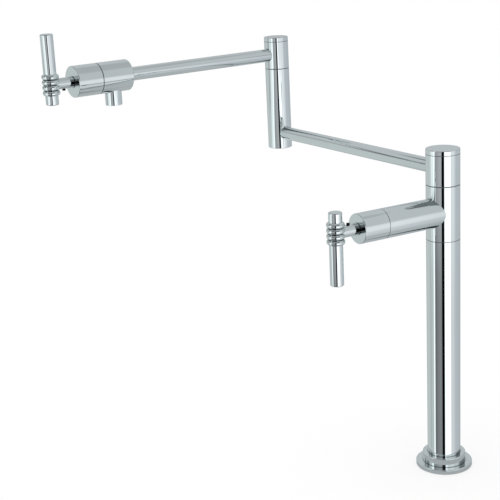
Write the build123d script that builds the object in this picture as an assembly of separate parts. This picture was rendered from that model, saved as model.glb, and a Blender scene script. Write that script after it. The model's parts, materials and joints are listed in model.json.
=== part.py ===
from build123d import *
import os
from math import asin, cos, radians, sin, sqrt, tan

# Deck mount pot filler: a column with a quarter-turn valve, two swinging arms,
# and a second valve over the spout.
# Millimetres, +Z up. The origin is the mouth of the inlet thread, in the plane of the deck.
# The deck valve points to the front, along -Y.

# Deck plate and column
gasket_diameter = 65.0
gasket_thickness = 0.8
flange_diameter = 68.0
flange_thickness = 5.4
flange_edge_bevel = 0.7
collar_diameter = 52.0
collar_height = 11.1
collar_edge_bevel = 0.9
column_diameter = 40.0
riser_length = 284.0
riser_wall = 3.0
valve_body_height = 65.0

# Water inlet: a half inch pipe thread, bored to its core diameter
inlet_core_diameter = 18.64
inlet_thread_length = 16.0
base_socket_height = 26.0
supply_tube_diameter = 15.0
supply_tube_wall = 1.5
supply_tube_seat = 7.0
riser_spigot_length = 12.0
waterway_diameter = 9.0
cross_waterway_diameter = 8.0
side_waterway_diameter = 5.2
side_waterway_wall = 0.4
waterway_overrun = 0.6

# Swivels
hub_height = 36.2
cap_thickness = 5.7
cap_edge_bevel = 0.6
swivel_gap = 0.6
base_spindle_diameter = 23.9
elbow_spindle_diameter = 19.9
spindle_foot_length = 14.0
spindle_foot_step = 1.0
spindle_wall = 4.2
spindle_port_diameter = 6.0
spindle_head_room = 1.0
port_groove_width = 10.0
port_groove_depth = 1.5
seal_groove_width = 2.4
seal_groove_depth = 1.9
seal_land = 0.8
seal_free_play = 0.03
washer_play = 0.05
washer_recess = 1.0
circlip_thickness = 1.2
circlip_rim = 2.6
circlip_groove_depth = 0.9
circlip_mouth_angle = 50.0
circlip_eye_diameter = 3.4
circlip_eye_hole = 1.4
circlip_room = 0.8
cap_thread_wall = 2.6

# Arms and elbow
arm_diameter = 17.0
arm_wall = 1.5
arm_seat_in_valve = 8.0
first_arm_reach = 333.0
first_arm_heading = 183.0
second_arm_reach = 254.0
second_arm_heading = 275.0
elbow_diameter = 32.2
elbow_drop = 21.0
elbow_rise = 87.4
elbow_floor = 8.0
elbow_edge_bevel = 0.6

# Valves: both hold the same cartridge behind a screwed bonnet
stub_diameter = 35.0
stub_reach = 88.3
spout_valve_diameter = 38.6
spout_valve_length = 42.0
spout_valve_edge_bevel = 0.8
bonnet_length = 33.8
bonnet_edge_bevel = 0.9
deck_bonnet_relief = 0.5
spout_bonnet_relief = 0.9
bonnet_relief_depth = 0.8
bonnet_thread_length = 8.0
chamber_diameter = 26.0
chamber_depth = 28.0
outlet_trough_depth = 5.0
cartridge_diameter = 19.8
cartridge_wall = 1.7
cartridge_reach = 8.0
cartridge_collar_thickness = 3.0
cartridge_window_width = 9.0
cartridge_window_height = 4.5
seat_seal_thickness = 1.5
seat_seal_bore = 10.4
disc_thickness = 3.5
disc_gap = 0.05
disc_port_diameter = 5.0
disc_port_spread = 4.2
disc_web = 4.0
stem_foot_thickness = 4.0
stem_diameter = 9.8
stem_tip_diameter = 7.9
stem_tip_length = 14.0
stem_shoulder_depth = 1.0
stem_ring_depth = 1.4
stem_ring_width = 2.2

# Levers: a turned bar with beads at its middle, on a neck that slides over the stem
lever_diameter = 15.8
lever_long_arm = 60.8
lever_short_arm = 24.4
lever_end_bevel = 1.2
lever_stand_off = 29.0
bead_diameter = 21.2
bead_pitch = 6.5
bead_count = 4
bead_cuts = 4
neck_diameter = 13.8
neck_pin_diameter = 8.0
neck_pin_depth = 3.0
set_screw_diameter = 4.0
set_screw_stand_off = 16.8
set_screw_bite = 0.5
set_screw_proud = 2.0
set_screw_key = 2.0
set_screw_key_depth = 1.6

# Spout
spout_diameter = 21.0
spout_bore_diameter = 16.0
spout_drop = 35.0
spout_seat_depth = 14.5
spout_port_diameter = 12.0
spout_edge_bevel = 0.5
aerator_diameter = 17.2
aerator_length = 8.0
aerator_recess = 0.8
aerator_wall = 1.5
aerator_floor = 3.0
aerator_washer_thickness = 1.5
aerator_hole_diameter = 2.2
aerator_hole_count = 6
aerator_hole_circle = 4.2

# Fits
screwed_fit = 0.05
running_fit = 0.05
free_gap = 0.4
joint_bevel = 0.35
fine_bevel = 0.2

UP = (Align.CENTER, Align.CENTER, Align.MIN)

# Levels of the column, from the deck upwards
flange_top = gasket_thickness + flange_thickness
riser_top = flange_top + riser_length
stub_level = riser_top + valve_body_height / 2
valve_body_top = riser_top + valve_body_height
base_hub_level = valve_body_top + swivel_gap
first_arm_level = base_hub_level + hub_height / 2

# Levels of the elbow, whose upper swivel carries the second arm clear above the column
elbow_bottom = first_arm_level - elbow_drop
elbow_top = first_arm_level + elbow_rise
elbow_hub_level = elbow_top + swivel_gap
second_arm_level = elbow_hub_level + hub_height / 2

# Radii that several pieces share
column_radius = column_diameter / 2
elbow_radius = elbow_diameter / 2
riser_bore_radius = column_radius - riser_wall
supply_radius = supply_tube_diameter / 2
arm_radius = arm_diameter / 2
arm_hole_radius = arm_radius + screwed_fit
base_foot_radius = base_spindle_diameter / 2 + spindle_foot_step
elbow_foot_radius = elbow_spindle_diameter / 2 + spindle_foot_step
chamber_radius = chamber_diameter / 2
cartridge_radius = cartridge_diameter / 2
disc_room_radius = cartridge_radius - cartridge_wall
bonnet_bore_radius = stem_diameter / 2 + free_gap
lever_radius = lever_diameter / 2
neck_radius = neck_diameter / 2

# Heights in a swivel, from the hub's underside
port_level = hub_height / 2
upper_seal_level = port_level + arm_hole_radius + seal_land
lower_seal_level = port_level - arm_hole_radius - seal_land - seal_groove_width
hub_shoulder = upper_seal_level + seal_groove_width + seal_land
circlip_level = hub_shoulder + free_gap
circlip_top = circlip_level + circlip_thickness
spindle_height = circlip_top + seal_land
cap_thread_length = hub_height - circlip_top - free_gap

# Distances in a valve, outwards along the stem from the joint between body and bonnet
seat = -chamber_depth
fixed_disc_level = seat + seat_seal_thickness
turning_disc_level = fixed_disc_level + disc_thickness + disc_gap
stem_foot_level = turning_disc_level + disc_thickness
cartridge_shoulder = stem_foot_level + stem_foot_thickness + free_gap
collar_top = -bonnet_thread_length
neck_start = bonnet_length + free_gap
lever_axis = bonnet_length + lever_stand_off
stem_shoulder = bonnet_length - stem_shoulder_depth
stem_end = neck_start + stem_tip_length
set_screw_level = lever_axis - set_screw_stand_off


def heading(angle):
    """The level unit vector at this angle, anticlockwise from +X."""
    return Vector(cos(radians(angle)), sin(radians(angle)), 0)


def rod(radius, low, high):
    """A plain round bar on the local Z axis, from one level to another."""
    return Pos(0, 0, low) * Cylinder(radius, high - low, align=UP)


def ring(outer, inner, low, high):
    """A plain ring on the local Z axis."""
    return rod(outer, low, high) - rod(inner, low, high)


def bevelled_rod(radius, low, high, low_bevel, high_bevel):
    """A round bar turned in one cut, with its low and high edges bevelled where a size is given."""
    profile = Polyline(
        (0, low),
        (radius - low_bevel, low),
        (radius, low + low_bevel),
        (radius, high - high_bevel),
        (radius - high_bevel, high),
        (0, high),
        close=True,
    )
    return revolve(Rot(90, 0, 0) * make_face(profile), Axis.Z)


def level_rod(radius, start, end, level=0.0):
    """A round bar along the local X axis, at a level."""
    return Pos(start, 0, level) * Rot(0, 90, 0) * Cylinder(radius, end - start, align=UP)


# Deck plate, column and inlet

def deck_gasket():
    return ring(gasket_diameter / 2, riser_bore_radius, 0, gasket_thickness)


def deck_flange():
    radius = flange_diameter / 2
    plate = bevelled_rod(radius, gasket_thickness, flange_top, fine_bevel, flange_edge_bevel)
    return plate - rod(riser_bore_radius, gasket_thickness, flange_top)


def base_collar():
    """The turned collar that hides the foot of the column: a straight wall under a flat ledge."""
    ledge = flange_top + collar_height
    outside = bevelled_rod(collar_diameter / 2, flange_top, ledge, fine_bevel, collar_edge_bevel)
    return outside - rod(column_radius + screwed_fit, flange_top, ledge)


def riser_tube():
    outside = bevelled_rod(column_radius, flange_top, riser_top, joint_bevel, joint_bevel)
    return outside - rod(riser_bore_radius, flange_top, riser_top)


def base_socket():
    """The threaded foot inside the riser: inlet thread below, supply tube socket above."""
    tube_seat = base_socket_height - supply_tube_seat
    thread = rod(inlet_core_diameter / 2, 0, inlet_thread_length)
    land = rod(supply_radius - supply_tube_wall, 0, tube_seat)
    tube_socket = rod(supply_radius + screwed_fit, tube_seat, base_socket_height)
    body = rod(riser_bore_radius - screwed_fit, 0, base_socket_height)
    return body - thread - land - tube_socket


def supply_tube():
    low = base_socket_height - supply_tube_seat
    high = riser_top - riser_spigot_length + supply_tube_seat
    return ring(supply_radius, supply_radius - supply_tube_wall, low, high)


def valve_body():
    """The tee at the head of the column, with the waterways to and from the cartridge chamber."""
    column = bevelled_rod(column_radius, riser_top, valve_body_top, joint_bevel, joint_bevel)
    spigot = rod(riser_bore_radius - screwed_fit, riser_top - riser_spigot_length, riser_top)
    stub = deck_valve_place() * bevelled_rod(stub_diameter / 2, -stub_reach, 0, joint_bevel, joint_bevel)
    side_offset = chamber_radius - side_waterway_wall - side_waterway_diameter / 2
    side_floor = stub_level + side_offset - side_waterway_diameter / 2 - waterway_overrun
    trough_end = seat - outlet_trough_depth
    seat_radius = cartridge_radius - running_fit
    chamber = rod(chamber_radius, seat, 0)
    trough = ring(chamber_radius, seat_radius, trough_end, seat)
    inward = rod(cross_waterway_diameter / 2, -stub_reach, seat)
    outward = Pos(-side_offset, 0, 0) * rod(side_waterway_diameter / 2, -stub_reach, trough_end)
    tube_socket = rod(
        supply_radius + screwed_fit,
        riser_top - riser_spigot_length,
        riser_top - riser_spigot_length + supply_tube_seat,
    )
    inward_top = stub_level + cross_waterway_diameter / 2 + waterway_overrun
    rising_in = rod(waterway_diameter / 2, riser_top - riser_spigot_length, inward_top)
    rising_out = rod(waterway_diameter / 2, side_floor, valve_body_top)
    spindle_socket = rod(
        base_foot_radius + screwed_fit, valve_body_top - spindle_foot_length, valve_body_top
    )
    body = column + spigot + stub
    body -= deck_valve_place() * (chamber + trough + inward + outward)
    return body - tube_socket - rising_in - rising_out - spindle_socket


# Swivel pieces, drawn from the hub's underside upwards

def spindle(shaft_radius, foot_radius):
    """The fixed spindle of a swivel: a screwed foot, a cross port, seal grooves and a circlip groove."""
    bore_radius = shaft_radius - spindle_wall
    shaft_foot = -swivel_gap
    body = rod(foot_radius, shaft_foot - spindle_foot_length, shaft_foot)
    body += rod(shaft_radius, shaft_foot, spindle_height)
    groove_low = port_level - port_groove_width / 2
    groove_high = port_level + port_groove_width / 2
    body -= ring(shaft_radius + 1, shaft_radius - port_groove_depth, groove_low, groove_high)
    for level in (lower_seal_level, upper_seal_level):
        body -= ring(shaft_radius + 1, shaft_radius - seal_groove_depth, level, level + seal_groove_width)
    clip_low = circlip_level - screwed_fit
    clip_high = circlip_top + screwed_fit
    body -= ring(shaft_radius + 1, shaft_radius - circlip_groove_depth, clip_low, clip_high)
    bore_top = port_level + spindle_port_diameter / 2 + spindle_head_room
    body -= rod(bore_radius, shaft_foot - spindle_foot_length, bore_top)
    return body - level_rod(spindle_port_diameter / 2, -shaft_radius, shaft_radius, port_level)


def seal_rings(shaft_radius):
    """The two rubber rings of a spindle, lathe cut, one below and one above the ports."""
    outer = shaft_radius + running_fit - seal_free_play
    inner = shaft_radius - seal_groove_depth
    lower = ring(outer, inner, lower_seal_level, lower_seal_level + seal_groove_width)
    upper = ring(outer, inner, upper_seal_level, upper_seal_level + seal_groove_width)
    return Compound(children=[lower, upper])


def thrust_washer(outer_radius, shaft_radius):
    """The plastic washer in the swivel gap, set back from the outside so that a fine dark line shows."""
    top = -washer_play
    return ring(outer_radius - washer_recess, shaft_radius + running_fit, -swivel_gap, top)


def circlip(shaft_radius):
    """An open spring ring with two eyes at its mouth, in the spindle's groove over the hub's shoulder."""
    inner = shaft_radius - circlip_groove_depth
    outer = shaft_radius + circlip_rim - circlip_groove_depth
    middle = (inner + outer) / 2
    body = ring(outer, inner, circlip_level, circlip_top)
    half_mouth = radians(circlip_mouth_angle / 2)
    far_x = outer / cos(half_mouth)
    far_y = far_x * tan(half_mouth)
    wedge = make_face(Polyline((0, 0), (far_x, far_y), (far_x, -far_y), close=True))
    body -= Pos(0, 0, circlip_level) * extrude(wedge, circlip_thickness)
    eye = rod(circlip_eye_diameter / 2, circlip_level, circlip_top)
    eye_hole = rod(circlip_eye_hole / 2, circlip_level, circlip_top)
    for side in (-1, 1):
        place = Pos(middle * cos(half_mouth), side * middle * sin(half_mouth), 0)
        body = body + place * eye - place * eye_hole
    return body - rod(inner, circlip_level, circlip_top)


def hub_recess_radius(shaft_radius):
    """The wide top of a hub's bore, which clears the circlip and takes the cap's thread."""
    return shaft_radius + circlip_rim - circlip_groove_depth + circlip_room


def swivel_hub(outer_radius, shaft_radius):
    """A turning hub with a stepped bore, open to the arm on its +X side."""
    bore = shaft_radius + running_fit
    body = bevelled_rod(outer_radius, 0, hub_height, joint_bevel, joint_bevel)
    body -= rod(bore, 0, hub_height)
    body -= rod(hub_recess_radius(shaft_radius), hub_shoulder, hub_height)
    return body - level_rod(arm_hole_radius, 0, outer_radius + 1, port_level)


def hub_cap(outer_radius, shaft_radius):
    """The polished cap of a swivel, screwed into the hub by a short hollow thread."""
    top = hub_height + cap_thickness
    body = bevelled_rod(outer_radius, hub_height, top, joint_bevel, cap_edge_bevel)
    thread_outer = hub_recess_radius(shaft_radius) - screwed_fit
    thread_inner = max(shaft_radius + free_gap, thread_outer - cap_thread_wall)
    thread = ring(thread_outer, thread_inner, hub_height - cap_thread_length, hub_height)
    return body + thread


# Arms and elbow, drawn with the arm along +X from the axis that it turns about

def arm_tube(start_bore, end_distance):
    """A straight arm tube that starts just outside a hub's bore."""
    start = start_bore + screwed_fit
    outside = level_rod(arm_radius, start, end_distance)
    return outside - level_rod(arm_radius - arm_wall, start, end_distance)


def elbow_post():
    """The post that lifts the second arm over the column: bored from the top, open to the first arm."""
    body = bevelled_rod(elbow_radius, elbow_bottom, elbow_top, elbow_edge_bevel, joint_bevel)
    body -= rod(elbow_foot_radius + screwed_fit, elbow_bottom + elbow_floor, elbow_top)
    return body - level_rod(arm_hole_radius, -elbow_radius - 1, 0, first_arm_level)


# Valve pieces, drawn with the stem along +Z from the joint between body and bonnet,
# and with the long arm of the lever along +X

def bonnet(radius, relief):
    """The polished sleeve over the cartridge, with a relief groove at its joint with the body."""
    body = bevelled_rod(radius, relief, bonnet_length, fine_bevel, bonnet_edge_bevel)
    body += rod(radius - bonnet_relief_depth, 0, relief)
    body += rod(chamber_radius - screwed_fit, -bonnet_thread_length, 0)
    body -= rod(cartridge_radius + free_gap, -bonnet_thread_length, cartridge_reach + free_gap)
    return body - rod(bonnet_bore_radius, 0, bonnet_length)


def cartridge_sleeve():
    """The brass sleeve that holds the ceramic discs, with two windows for the water they let through."""
    body = rod(cartridge_radius, fixed_disc_level, cartridge_reach)
    body += rod(chamber_radius - screwed_fit, collar_top - cartridge_collar_thickness, collar_top)
    body -= rod(disc_room_radius, fixed_disc_level, cartridge_shoulder)
    body -= rod(stem_diameter / 2 + running_fit, cartridge_shoulder, cartridge_reach)
    window = Box(chamber_diameter, cartridge_window_width, cartridge_window_height, align=UP)
    return body - Pos(0, 0, turning_disc_level) * window


def seat_seal():
    return ring(cartridge_radius - free_gap, seat_seal_bore / 2, seat, fixed_disc_level)


def fixed_disc():
    """The ceramic disc that stays still, with a port on each side."""
    body = rod(disc_room_radius - running_fit, fixed_disc_level, fixed_disc_level + disc_thickness)
    for side in (-1, 1):
        port = rod(disc_port_diameter / 2, fixed_disc_level, fixed_disc_level + disc_thickness)
        body -= Pos(side * disc_port_spread, 0, 0) * port
    return body


def turning_disc():
    """The ceramic disc that the stem turns, its open notches across the ports while the valve is shut."""
    disc_radius = disc_room_radius - running_fit
    body = rod(disc_radius, turning_disc_level, stem_foot_level)
    notch = Box(disc_port_diameter, disc_radius, disc_thickness, align=(Align.CENTER, Align.MIN, Align.MIN))
    for turn in (0, 180):
        body -= Rot(0, 0, turn) * Pos(0, disc_web / 2, turning_disc_level) * notch
    return body


def stem():
    """The stem: a broad foot on the turning disc, a guided shaft, a ring groove and a thin tip."""
    foot_top = stem_foot_level + stem_foot_thickness
    shaft_radius = stem_diameter / 2
    body = rod(disc_room_radius - running_fit, stem_foot_level, foot_top)
    body += rod(shaft_radius, foot_top, stem_shoulder)
    body += rod(stem_tip_diameter / 2, stem_shoulder, stem_end)
    body -= ring(shaft_radius + 1, shaft_radius - stem_ring_depth, 0, stem_ring_width)
    flat = Box(set_screw_diameter * 2, stem_diameter, set_screw_diameter * 2)
    flat_face = stem_tip_diameter / 2 - set_screw_bite
    return body - Pos(-flat_face - set_screw_diameter, 0, set_screw_level) * flat


def stem_ring():
    outer = stem_diameter / 2 + running_fit - seal_free_play
    return ring(outer, stem_diameter / 2 - stem_ring_depth, 0, stem_ring_width)


def bead(low):
    """One half-round bead of the lever, its arc turned in a few straight cuts."""
    swell = bead_diameter / 2 - lever_radius
    arc_radius = (bead_pitch**2 / 4 + swell**2) / (2 * swell)
    arc_centre = bead_diameter / 2 - arc_radius
    half_arc = asin(bead_pitch / 2 / arc_radius)
    outline = [(0, low), (lever_radius, low)]
    for cut in range(1, bead_cuts):
        angle = half_arc * (2 * cut / bead_cuts - 1)
        height = low + bead_pitch / 2 + arc_radius * sin(angle)
        outline.append((arc_centre + arc_radius * cos(angle), height))
    outline += [(lever_radius, low + bead_pitch), (0, low + bead_pitch)]
    return revolve(Rot(90, 0, 0) * make_face(Polyline(*outline, close=True)), Axis.Z)


def lever_bar():
    """The turned bar before its cross hole: bevelled ends, and a stack of beads at the neck."""
    upright = bevelled_rod(lever_radius, -lever_short_arm, lever_long_arm, lever_end_bevel, lever_end_bevel)
    for index in range(bead_count):
        upright += bead((index - bead_count / 2) * bead_pitch)
    return Pos(0, 0, lever_axis) * Rot(0, 90, 0) * upright


def lever():
    """The lever bar with the blind cross hole that takes the neck's pin."""
    hole = rod(neck_pin_diameter / 2 + screwed_fit, neck_start, lever_axis + neck_pin_depth)
    return lever_bar() - hole


def lever_neck():
    """The neck that carries the lever: saddled to the beads, bored for the stem, with a set screw hole."""
    body = rod(neck_radius, neck_start, lever_axis) - lever_bar()
    body = body.solids().sort_by(Axis.Z)[0]
    body += rod(neck_pin_diameter / 2, stem_end + free_gap, lever_axis + neck_pin_depth - screwed_fit)
    body -= rod(stem_tip_diameter / 2 + screwed_fit, neck_start, stem_end + free_gap)
    return body - level_rod(set_screw_diameter / 2 + screwed_fit, -neck_radius - 1, 0, set_screw_level)


def set_screw():
    """The grub screw on the short arm's side of the neck. It stands proud, with a hexagon socket."""
    inner_end = -(stem_tip_diameter / 2 - set_screw_bite)
    outer_end = -(neck_radius + set_screw_proud)
    body = level_rod(set_screw_diameter / 2, outer_end, inner_end, set_screw_level)
    key = extrude(RegularPolygon(set_screw_key / sqrt(3), 6), set_screw_key_depth)
    return body - Pos(outer_end, 0, set_screw_level) * Rot(0, 90, 0) * key


def spout_valve_body():
    """The valve body at the end of the second arm, open to the arm, the cartridge and the spout."""
    radius = spout_valve_diameter / 2
    body = bevelled_rod(radius, -spout_valve_length, 0, spout_valve_edge_bevel, joint_bevel)
    arm_seat = -spout_valve_length + arm_seat_in_valve
    body -= rod(arm_hole_radius, -spout_valve_length, arm_seat)
    body -= rod(waterway_diameter / 2, arm_seat, seat)
    body -= rod(chamber_radius, seat, 0)
    spout_axis = -spout_valve_length / 2
    body -= level_rod(spout_port_diameter / 2, -radius - 1, 0, spout_axis)
    return body - level_rod(spout_diameter / 2 + screwed_fit, -radius - 1, -spout_seat_depth, spout_axis)


# Spout pieces, drawn on their own upright axis, from the level of the second arm

def spout_tube():
    """The short straight spout, with a wider recess at its mouth for the aerator."""
    radius = spout_diameter / 2
    body = bevelled_rod(radius, -spout_drop, -spout_seat_depth, spout_edge_bevel, spout_edge_bevel)
    body -= rod(spout_bore_diameter / 2, -spout_drop, -spout_seat_depth)
    recess_top = aerator_top() + aerator_washer_thickness
    return body - rod(aerator_diameter / 2 + screwed_fit, -spout_drop, recess_top)


def aerator_bottom():
    return -spout_drop + aerator_recess


def aerator_top():
    return aerator_bottom() + aerator_length


def aerator_housing():
    radius = aerator_diameter / 2
    return ring(radius, radius - aerator_wall, aerator_bottom(), aerator_top())


def aerator_insert():
    """The perforated plate that breaks the stream: a hole at the middle and a ring of holes round it."""
    radius = aerator_diameter / 2 - aerator_wall - screwed_fit
    low = aerator_bottom() + aerator_recess
    body = rod(radius, low, low + aerator_floor)
    hole = rod(aerator_hole_diameter / 2, low, low + aerator_floor)
    body -= hole
    for place in PolarLocations(aerator_hole_circle, aerator_hole_count):
        body -= place * hole
    return body


def aerator_washer():
    radius = aerator_diameter / 2
    top = aerator_top() + aerator_washer_thickness
    return ring(radius, radius - aerator_wall * 2, aerator_top(), top)


# Places

def deck_valve_place():
    """The deck valve points to the front, with the lever's long arm hanging down."""
    joint = (0, -stub_reach, stub_level)
    return Plane(origin=joint, x_dir=(0, 0, -1), z_dir=(0, -1, 0)).location


def elbow_axis_point():
    return heading(first_arm_heading) * first_arm_reach


def first_arm_place():
    return Rot(0, 0, first_arm_heading)


def elbow_post_place():
    """The post's own +X points away from the column, so the first arm enters at its -X side."""
    return Location(elbow_axis_point()) * Rot(0, 0, first_arm_heading)


def base_swivel_place():
    return Pos(0, 0, base_hub_level)


def elbow_swivel_place():
    point = elbow_axis_point()
    return Pos(point.X, point.Y, elbow_hub_level)


def second_arm_place():
    point = elbow_axis_point()
    return Pos(point.X, point.Y, second_arm_level) * Rot(0, 0, second_arm_heading)


def spout_valve_place():
    """The spout valve lies in line with the second arm, with the lever's long arm standing up."""
    outward = heading(second_arm_heading)
    reach = second_arm_reach + spout_valve_length / 2
    joint = elbow_axis_point() + outward * reach + Vector(0, 0, second_arm_level)
    return Plane(origin=joint, x_dir=(0, 0, 1), z_dir=outward).location


def spout_place():
    return second_arm_place() * Pos(second_arm_reach, 0, 0)


def swivel_pieces(name, outer_radius, shaft_radius, foot_radius, place, hub_turn):
    """The pieces of one swivel, by node name. Hub, ports and the circlip's mouth follow hub_turn."""
    turned = place * Rot(0, 0, hub_turn)
    return {
        name + "_spindle": turned * spindle(shaft_radius, foot_radius),
        name + "_spindle_seals": place * seal_rings(shaft_radius),
        name + "_thrust_washer": place * thrust_washer(outer_radius, shaft_radius),
        name + "_circlip": turned * circlip(shaft_radius),
        name + "_swivel_hub": turned * swivel_hub(outer_radius, shaft_radius),
        name + "_hub_cap": place * hub_cap(outer_radius, shaft_radius),
    }


def valve_pieces(name, bonnet_radius, bonnet_relief, place):
    """The pieces of one quarter-turn valve and its lever, by node name."""
    return {
        name + "_bonnet": place * bonnet(bonnet_radius, bonnet_relief),
        name + "_cartridge_sleeve": place * cartridge_sleeve(),
        name + "_seat_seal": place * seat_seal(),
        name + "_fixed_disc": place * fixed_disc(),
        name + "_turning_disc": place * turning_disc(),
        name + "_stem": place * stem(),
        name + "_stem_ring": place * stem_ring(),
        name + "_lever_neck": place * lever_neck(),
        name + "_lever": place * lever(),
        name + "_set_screw": place * set_screw(),
    }


def pot_filler():
    """Every piece of the pot filler at rest, by node name."""
    base_shaft = base_spindle_diameter / 2
    elbow_shaft = elbow_spindle_diameter / 2
    first_arm_end = first_arm_reach - elbow_foot_radius - screwed_fit * 2
    second_arm_end = second_arm_reach - spout_valve_length / 2 + arm_seat_in_valve
    pieces = {
        "deck_gasket": deck_gasket(),
        "deck_flange": deck_flange(),
        "base_collar": base_collar(),
        "riser_tube": riser_tube(),
        "base_socket": base_socket(),
        "supply_tube": supply_tube(),
        "valve_body": valve_body(),
        "first_arm_tube": first_arm_place()
        * Pos(0, 0, first_arm_level)
        * arm_tube(base_shaft + running_fit, first_arm_end),
        "elbow_post": elbow_post_place() * elbow_post(),
        "second_arm_tube": second_arm_place() * arm_tube(elbow_shaft + running_fit, second_arm_end),
        "spout_valve_body": spout_valve_place() * spout_valve_body(),
        "spout_tube": spout_place() * spout_tube(),
        "aerator_housing": spout_place() * aerator_housing(),
        "aerator_insert": spout_place() * aerator_insert(),
        "aerator_washer": spout_place() * aerator_washer(),
    }
    pieces |= swivel_pieces(
        "base", column_radius, base_shaft, base_foot_radius, base_swivel_place(), first_arm_heading
    )
    pieces |= swivel_pieces(
        "elbow", elbow_radius, elbow_shaft, elbow_foot_radius, elbow_swivel_place(), second_arm_heading
    )
    pieces |= valve_pieces("deck", stub_diameter / 2, deck_bonnet_relief, deck_valve_place())
    pieces |= valve_pieces("spout", spout_valve_diameter / 2, spout_bonnet_relief, spout_valve_place())
    return pieces


os.makedirs("parts", exist_ok=True)
for node, solid in pot_filler().items():
    export_step(solid, "parts/" + node + ".step")
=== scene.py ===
import json
from math import ceil, cos, pi, radians, sin, sqrt, tan

import bmesh
import bpy
from mathutils import Matrix, Vector


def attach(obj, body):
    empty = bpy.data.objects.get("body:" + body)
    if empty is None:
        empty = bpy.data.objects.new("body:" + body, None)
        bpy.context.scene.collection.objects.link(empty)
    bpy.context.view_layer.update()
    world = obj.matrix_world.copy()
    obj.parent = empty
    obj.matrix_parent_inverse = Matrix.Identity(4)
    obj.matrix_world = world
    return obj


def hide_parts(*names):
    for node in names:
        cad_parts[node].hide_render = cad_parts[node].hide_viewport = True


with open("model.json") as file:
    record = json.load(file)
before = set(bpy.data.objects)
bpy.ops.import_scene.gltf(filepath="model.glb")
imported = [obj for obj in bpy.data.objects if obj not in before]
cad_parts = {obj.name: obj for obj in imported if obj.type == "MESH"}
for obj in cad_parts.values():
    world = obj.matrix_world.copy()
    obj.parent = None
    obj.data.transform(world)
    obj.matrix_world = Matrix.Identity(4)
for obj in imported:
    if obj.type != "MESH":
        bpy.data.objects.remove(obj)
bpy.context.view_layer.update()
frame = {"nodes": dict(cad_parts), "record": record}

# A chrome pot filler: column, two swinging arms, and two quarter-turn valves with beaded levers.
# Sizes are in millimetres, in the same frame as the solids. Each piece is scaled to metres as it is placed.

MM = 0.001

# Deck plate and column
gasket_radius = 32.5
gasket_thickness = 0.8
flange_radius = 34.0
flange_top = 6.2
collar_radius = 26.0
collar_ledge = 17.3
column_radius = 20.0
column_bore = 17.0
riser_top = 290.2
valve_body_top = 355.2
stub_level = 322.7
spigot_length = 12.0

# Inlet socket and its pipe thread
socket_height = 26.0
inlet_core_radius = 9.32
inlet_depth = 16.0
mouth_bevel = 0.6
tube_radius = 7.5
tube_bore = 6.0
tube_seat = 7.0
thread_pitch = 1.814
thread_depth = 1.16
thread_crest = 0.3

# Swivels
swivel_gap = 0.6
hub_height = 36.2
cap_thickness = 5.7
base_shaft = 11.95
elbow_shaft = 9.95
foot_step = 1.0
foot_length = 14.0
hub_shoulder = 30.7
circlip_top = 32.3
circlip_room = 2.5
cap_thread_wall = 2.6
thread_gap = 0.4

# Arms and elbow
arm_radius = 8.5
arm_wall = 1.5
arm_seat = 8.0
first_reach = 333.0
first_heading = 183.0
second_reach = 254.0
second_heading = 275.0
elbow_radius = 16.1
elbow_drop = 21.0
elbow_rise = 87.4
elbow_floor = 8.0

# Valves
stub_radius = 17.5
stub_reach = 88.3
spout_valve_radius = 19.3
spout_valve_length = 42.0
bonnet_length = 33.8
bonnet_thread = 8.0
chamber_radius = 13.0
chamber_depth = 28.0
waterway_radius = 4.5
bonnet_room = 10.3
bonnet_room_depth = 8.4
stem_bore = 5.3

# Levers
lever_radius = 7.9
lever_long = 60.8
lever_short = 24.4
lever_axis = 62.8
bead_radius = 10.6
bead_pitch = 6.5
bead_count = 4
neck_radius = 6.9
neck_bore = 4.0
neck_start = 34.2
neck_sink = 2.0
screw_level = 46.0
screw_radius = 2.0
screw_proud = 2.0
screw_end = 3.45
screw_hole_start = 2.0
screw_edge_round = 0.2
screw_key = 2.0
screw_key_depth = 1.6

# Spout and aerator
spout_radius = 10.5
spout_bore = 8.0
spout_drop = 35.0
spout_seat = 14.5
aerator_radius = 8.6
aerator_low = -34.2
aerator_high = -26.2
aerator_wall = 1.5
aerator_recess = 0.8
aerator_floor = 3.0
aerator_hole_radius = 1.1
aerator_hole_circle = 4.2
aerator_hole_count = 6
spoke_count = 12
spoke_width = 0.55
screen_ring_count = 3
screen_ring_pitch = 1.9
washer_thickness = 1.5

# Fits, joint grooves and the roundings that the polishing leaves
fit = 0.05
groove_depth = 0.8
# How far in the dark ring of painted shade stands in each joint's groove
seam_depth = 0.3
column_groove = 0.5
cap_groove = 0.4
deck_bonnet_groove = 0.5
spout_bonnet_groove = 0.9
joint_round = 0.35
fine_round = 0.15
edge_round = 0.9
lever_round = 1.4

# How finely round forms are divided
ROUND = 160
SMALL_ROUND = 96
SCREW_STEPS = 48
HOLE_STEPS = 24
HEXAGON = 6
BEAD_STEPS = 20
THREAD_STEPS = 72
WIRE_SIDES = 8
ARC_STEP = radians(14)
LEAST_ARC_STEPS = 3
SUPPORT_SHARE = 0.12
SHARP = radians(26)

# Cutting: how far a tool reaches past the surface, which points are one, and what counts as a barrel's face
overrun = 5.0
same_point = 0.001
barrel_tolerance = 0.02
barrel_slope = 0.02


# Node trees, written as arithmetic

class Value:
    """A socket inside a node tree. Arithmetic on it adds the maths nodes."""

    def __init__(self, tree, socket):
        self.tree = tree
        self.socket = socket

    def __add__(self, other):
        return self.tree.maths("ADD", self, other)

    __radd__ = __add__

    def __sub__(self, other):
        return self.tree.maths("SUBTRACT", self, other)

    def __rsub__(self, other):
        return self.tree.maths("SUBTRACT", other, self)

    def __mul__(self, other):
        return self.tree.maths("MULTIPLY", self, other)

    __rmul__ = __mul__

    def __truediv__(self, other):
        return self.tree.maths("DIVIDE", self, other)

    def __rtruediv__(self, other):
        return self.tree.maths("DIVIDE", other, self)


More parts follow.
